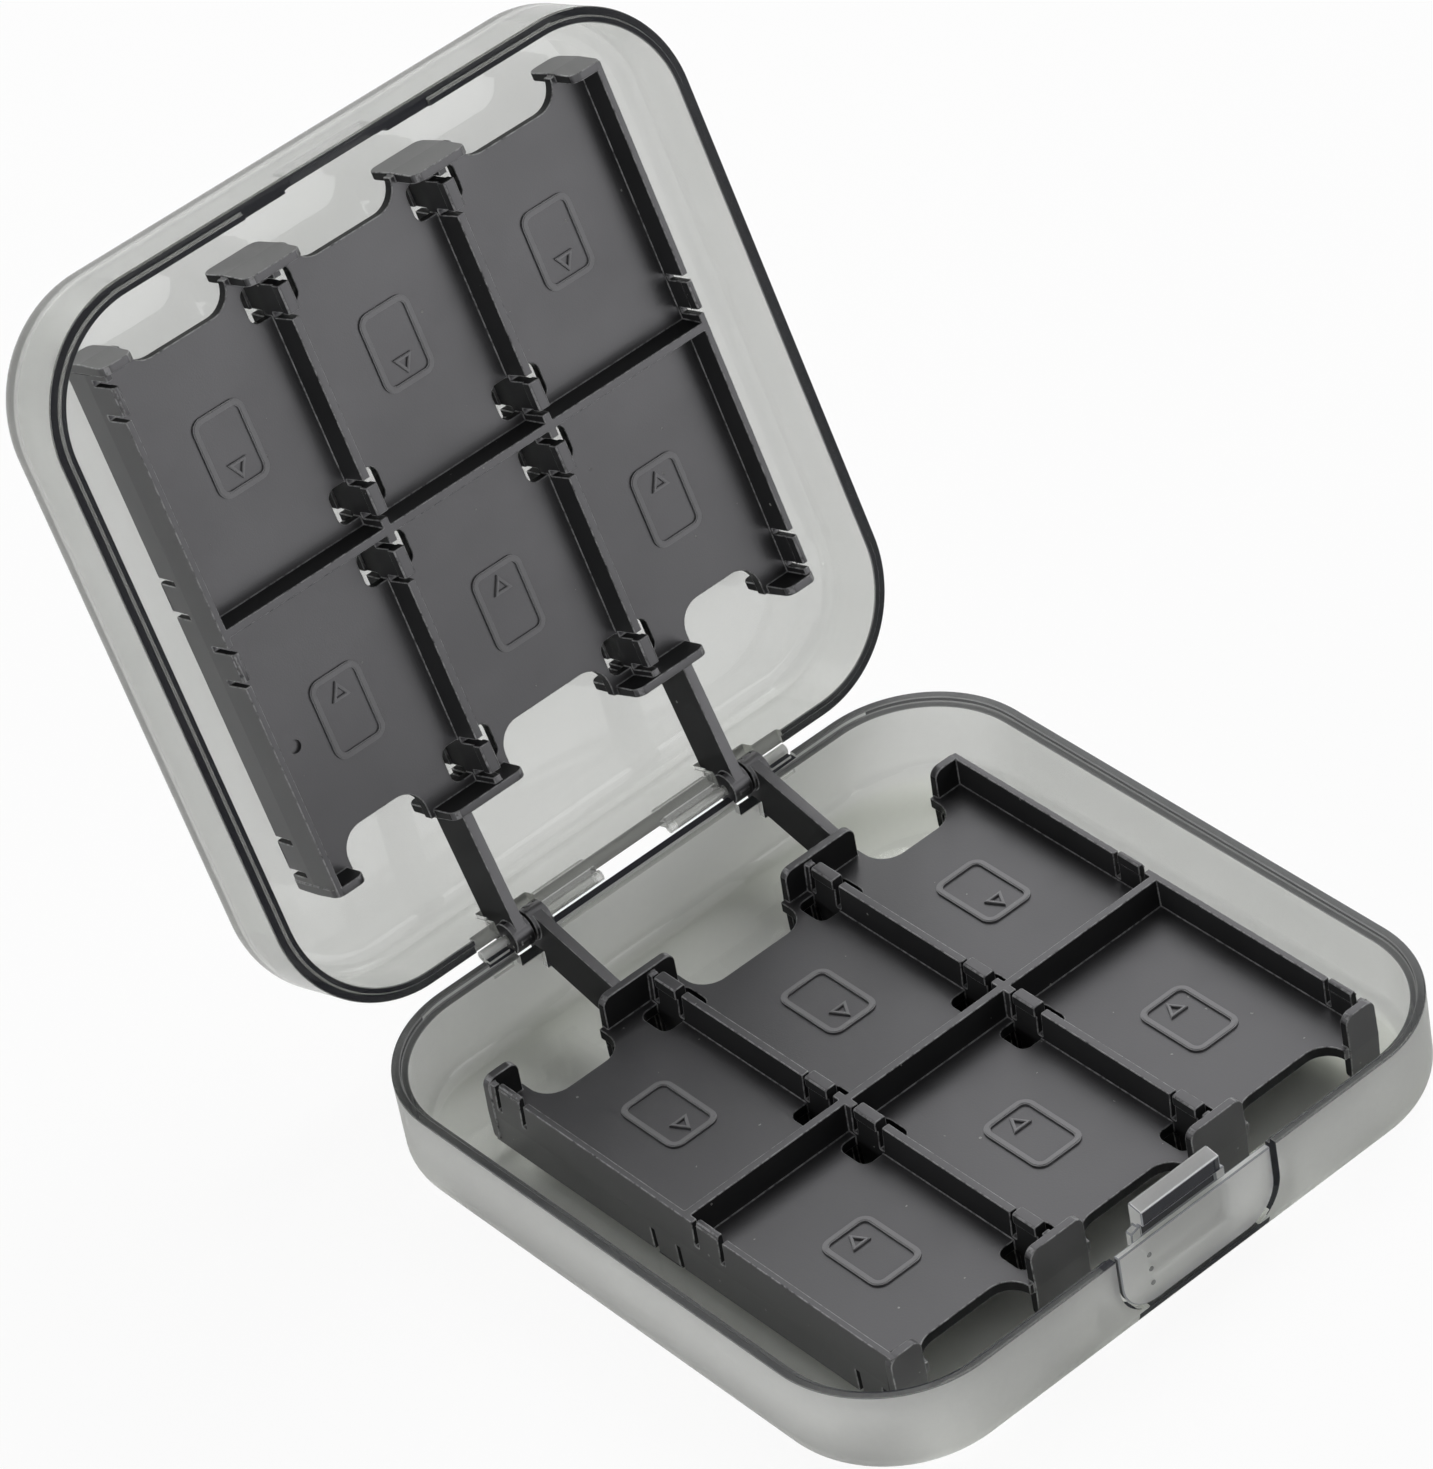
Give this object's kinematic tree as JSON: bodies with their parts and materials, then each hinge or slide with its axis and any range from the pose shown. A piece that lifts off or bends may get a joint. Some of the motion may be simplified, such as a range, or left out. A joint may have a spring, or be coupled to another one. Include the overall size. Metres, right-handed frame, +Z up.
{
  "type": "game card case",
  "caption": "Open translucent clamshell case with two hinged double-sided black trays for small game cards and a rocking front latch.",
  "frame": {"origin": "centre of the base's flat underside", "axes": "+Z up out of the base, hinge line along X at +Y, latch at the front towards -Y; lid drawn open"},
  "size_m": [0.0886, 0.1301, 0.0958],
  "materials": {
    "smoke_shell": "translucent smoke grey, glossy",
    "smoke_latch": "translucent smoke grey, glossy",
    "smoke_pin": "translucent smoke grey, satin",
    "black_tray": "satin black, finely textured"
  },
  "bodies": {
    "base": {"base_shell": "smoke_shell", "hinge_pin_left": "smoke_pin", "hinge_pin_right": "smoke_pin"},
    "lower_page": {"lower_tray": "black_tray"},
    "upper_page": {"upper_tray": "black_tray"},
    "lid": {"lid_shell": "smoke_shell"},
    "latch": {"latch": "smoke_latch"}
  },
  "joints": [
    {"name": "lower_page_turn", "type": "hinge", "parent": "base", "child": "lower_page", "pos_m": [0, 0.0449, 0.012], "axis": [-1, 0, 0], "range_deg": [0, 35]},
    {"name": "case_open", "type": "hinge", "parent": "lower_page", "child": "upper_page", "pos_m": [0, 0.0449, 0.012], "axis": [-1, 0, 0], "range_deg": [-110, 0]},
    {"name": "lid_open", "type": "hinge", "parent": "upper_page", "child": "lid", "pos_m": [0, 0.0449, 0.012], "axis": [-1, 0, 0], "range_deg": [0, 34]},
    {"name": "latch_press", "type": "hinge", "parent": "base", "child": "latch", "pos_m": [0, -0.0414, 0.00545], "axis": [-1, 0, 0], "range_deg": [0, 6], "stiffness_Nm_per_rad": 0.02, "springref_deg": -8.02}
  ]
}
